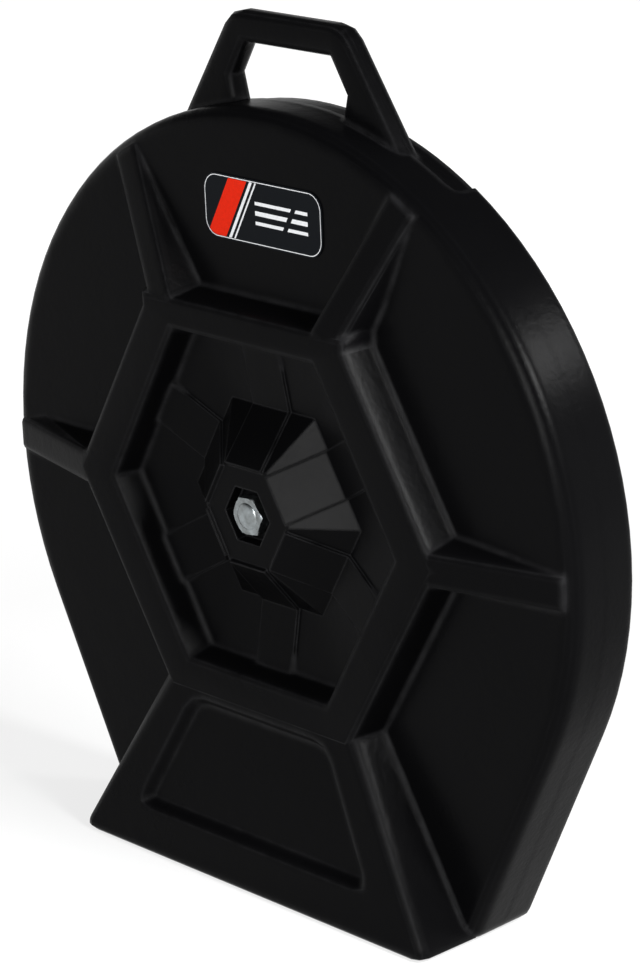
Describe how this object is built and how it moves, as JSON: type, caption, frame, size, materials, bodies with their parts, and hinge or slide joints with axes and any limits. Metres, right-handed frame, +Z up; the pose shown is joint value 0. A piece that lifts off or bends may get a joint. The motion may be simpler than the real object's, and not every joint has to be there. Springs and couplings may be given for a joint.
{
  "type": "cymbal case",
  "caption": "Hard moulded upright case for cymbals: round drum on a flat sole with a hexagonal front ring, ribs, splayed foot and top handle, and a rear lid held by a knob on a central post.",
  "frame": {"origin": "middle of the bounding box at the height of the flat sole", "axes": "+Z up, the front with the hexagonal ring faces -Y, the lid comes off towards +Y, X runs across"},
  "size_m": [0.61, 0.122, 0.671],
  "materials": {
    "shell_front": "satin black polyethylene",
    "shell_rear": "satin black polyethylene",
    "nameplate": "printed plate, black ground",
    "post_zinc": "bright zinc plated",
    "head_washer_zinc": "bright zinc plated",
    "clamp_washer_zinc": "bright zinc plated",
    "lock_washer_steel": "bright zinc plated",
    "clamp_nut_zinc": "bright zinc plated",
    "sleeve_nylon": "natural nylon",
    "front_felt": "pressed felt",
    "rear_felt": "pressed felt",
    "divider_1_felt": "pressed felt",
    "divider_2_felt": "pressed felt",
    "divider_3_felt": "pressed felt",
    "cup_washer_zinc": "bright zinc plated",
    "wing_nut_zinc": "bright zinc plated",
    "front_pad_foam": "closed-cell foam",
    "rear_pad_foam": "closed-cell foam",
    "seal_rubber": "soft rubber",
    "bush_nylon": "natural nylon",
    "lid_washer_zinc": "bright zinc plated",
    "knob_plastic": "satin black",
    "insert_brass": "machined brass"
  },
  "bodies": {
    "case": {"front_shell": "shell_front", "nameplate": "nameplate", "centre_post": "post_zinc", "head_washer": "head_washer_zinc", "clamp_washer": "clamp_washer_zinc", "lock_washer": "lock_washer_steel", "clamp_nut": "clamp_nut_zinc", "post_sleeve": "sleeve_nylon", "front_felt": "front_felt", "front_pad": "front_pad_foam", "divider_1": "divider_1_felt", "divider_2": "divider_2_felt", "divider_3": "divider_3_felt", "rear_felt": "rear_felt"},
    "lid": {"rear_shell": "shell_rear", "rear_pad": "rear_pad_foam", "lid_seal": "seal_rubber", "lid_bush": "bush_nylon"},
    "knob_carrier": {"lid_washer": "lid_washer_zinc"},
    "knob": {"lid_knob": "knob_plastic", "knob_insert": "insert_brass"},
    "cup": {"cup_washer": "cup_washer_zinc"},
    "wing": {"wing_nut": "wing_nut_zinc"}
  },
  "joints": [
    {"name": "lid_lift_off", "type": "slide", "parent": "case", "child": "lid", "axis": [0, 1, 0], "range_m": [0, 0.12]},
    {"name": "knob_travel", "type": "slide", "parent": "lid", "child": "knob_carrier", "axis": [0, 1, 0], "range_m": [0, 0.01]},
    {"name": "knob_turn", "type": "hinge", "parent": "knob_carrier", "child": "knob", "pos_m": [0, 0.055, 0.3025], "axis": [0, 1, 0], "range_deg": [0, 2880]},
    {"name": "wing_nut_travel", "type": "slide", "parent": "case", "child": "cup", "axis": [0, 1, 0], "range_m": [0, 0.01]},
    {"name": "wing_nut_turn", "type": "hinge", "parent": "cup", "child": "wing", "pos_m": [0, 0.02, 0.3025], "axis": [0, 1, 0], "range_deg": [0, 2880]}
  ],
  "couplings": [
    {"joint": "knob_travel", "follows": "knob_turn", "m_per_rad": 0.00019894},
    {"joint": "wing_nut_travel", "follows": "wing_nut_turn", "m_per_rad": 0.00019894}
  ]
}
